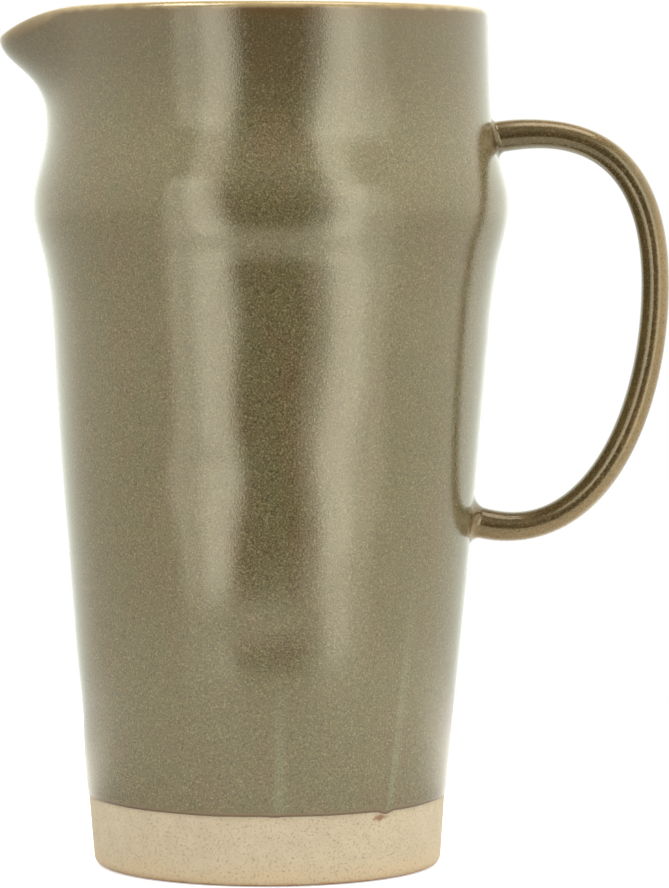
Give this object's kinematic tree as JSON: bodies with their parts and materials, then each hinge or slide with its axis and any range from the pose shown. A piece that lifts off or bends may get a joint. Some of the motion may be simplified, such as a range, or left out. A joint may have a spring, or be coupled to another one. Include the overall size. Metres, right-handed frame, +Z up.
{
  "type": "jug",
  "caption": "Tall tapered stoneware jug with a rolled belt, a pulled pouring spout, a slim loop handle, satin glaze and a bare clay foot.",
  "frame": {"origin": "middle of the flat underside, on the surface that the jug stands on", "axes": "+Z up through the mouth, -X towards the pouring spout, +X towards the handle, +Y across"},
  "size_m": [0.1707, 0.1202, 0.2182],
  "materials": {
    "clay": "bare buff stoneware with fine brown specks, matt",
    "olive_glaze": "olive brown satin glaze with fine golden speckle",
    "liner_glaze": "olive brown satin glaze inside",
    "slip": "slip fillet under the same olive brown glaze",
    "brown_glaze": "the same glaze, thinner and more golden brown on the handle"
  },
  "bodies": {
    "root": {"clay_body": "clay", "outer_glaze": "olive_glaze", "inner_glaze": "liner_glaze", "handle": "clay", "upper_handle_joint": "slip", "lower_handle_joint": "slip", "handle_glaze": "brown_glaze"}
  },
  "joints": []
}
